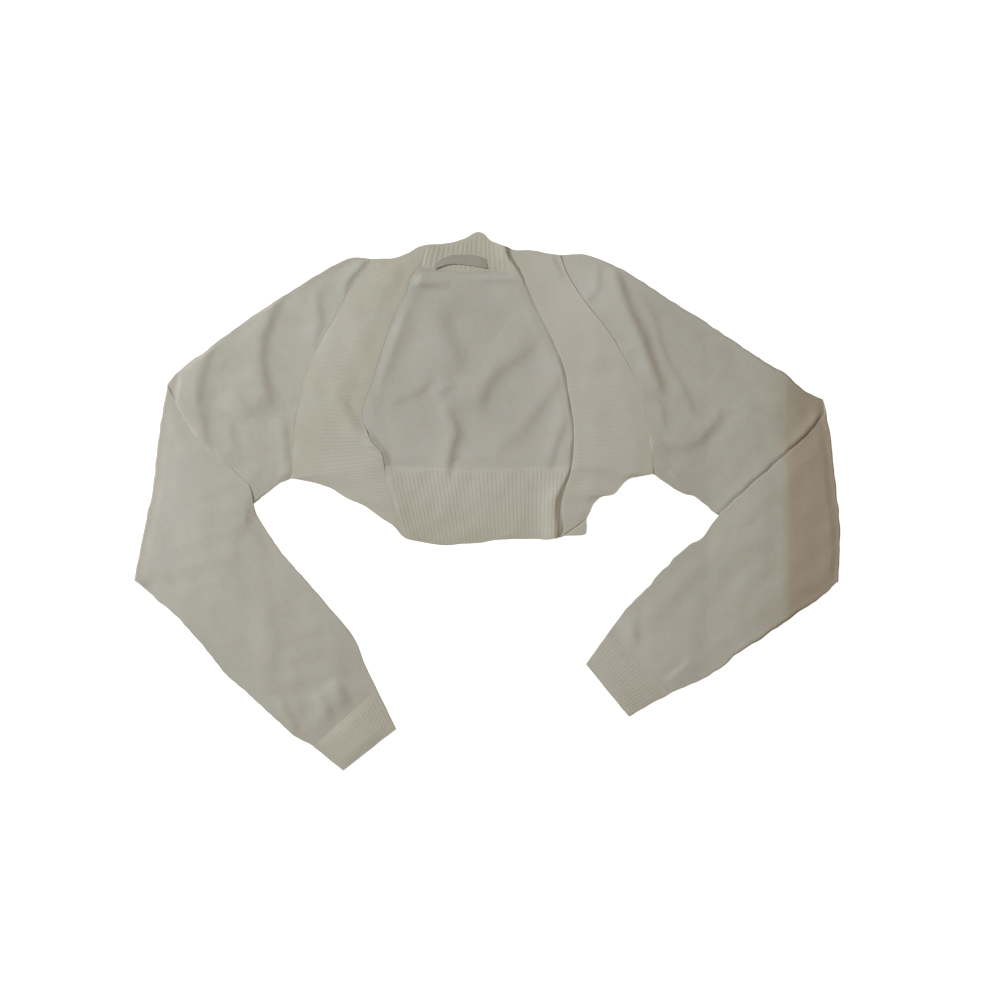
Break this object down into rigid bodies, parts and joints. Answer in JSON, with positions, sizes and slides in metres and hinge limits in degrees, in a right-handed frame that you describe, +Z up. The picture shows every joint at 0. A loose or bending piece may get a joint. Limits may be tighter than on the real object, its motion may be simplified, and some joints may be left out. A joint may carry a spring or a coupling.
{
  "type": "knitted shrug laid flat",
  "caption": "Cropped knitted shrug laid flat on its back, with wide ribbed fronts, a ribbed hem, neck and cuffs, and long sleeves folded over at the elbow.",
  "frame": {"origin": "middle of the laid garment's bounding box, on the surface that it lies on", "axes": "+X from one elbow towards the other, +Y from the hem towards the neck, +Z up out of the surface"},
  "size_m": [0.7406, 0.5664, 0.011],
  "materials": {
    "plain_knit": "soft ivory plain knit with a faint fuzz, no gloss",
    "rib_knit": "soft ivory rib knit, no gloss",
    "woven_label": "thin grey-lilac woven tape, bare, faint satin"
  },
  "bodies": {
    "root": {"back_panel": "plain_knit", "hem_rib": "rib_knit", "neck_rib": "rib_knit", "front_band_left": "rib_knit", "front_band_right": "rib_knit", "sleeve_left": "plain_knit", "sleeve_right": "plain_knit", "cuff_left": "rib_knit", "cuff_right": "rib_knit", "label": "woven_label"}
  },
  "joints": []
}
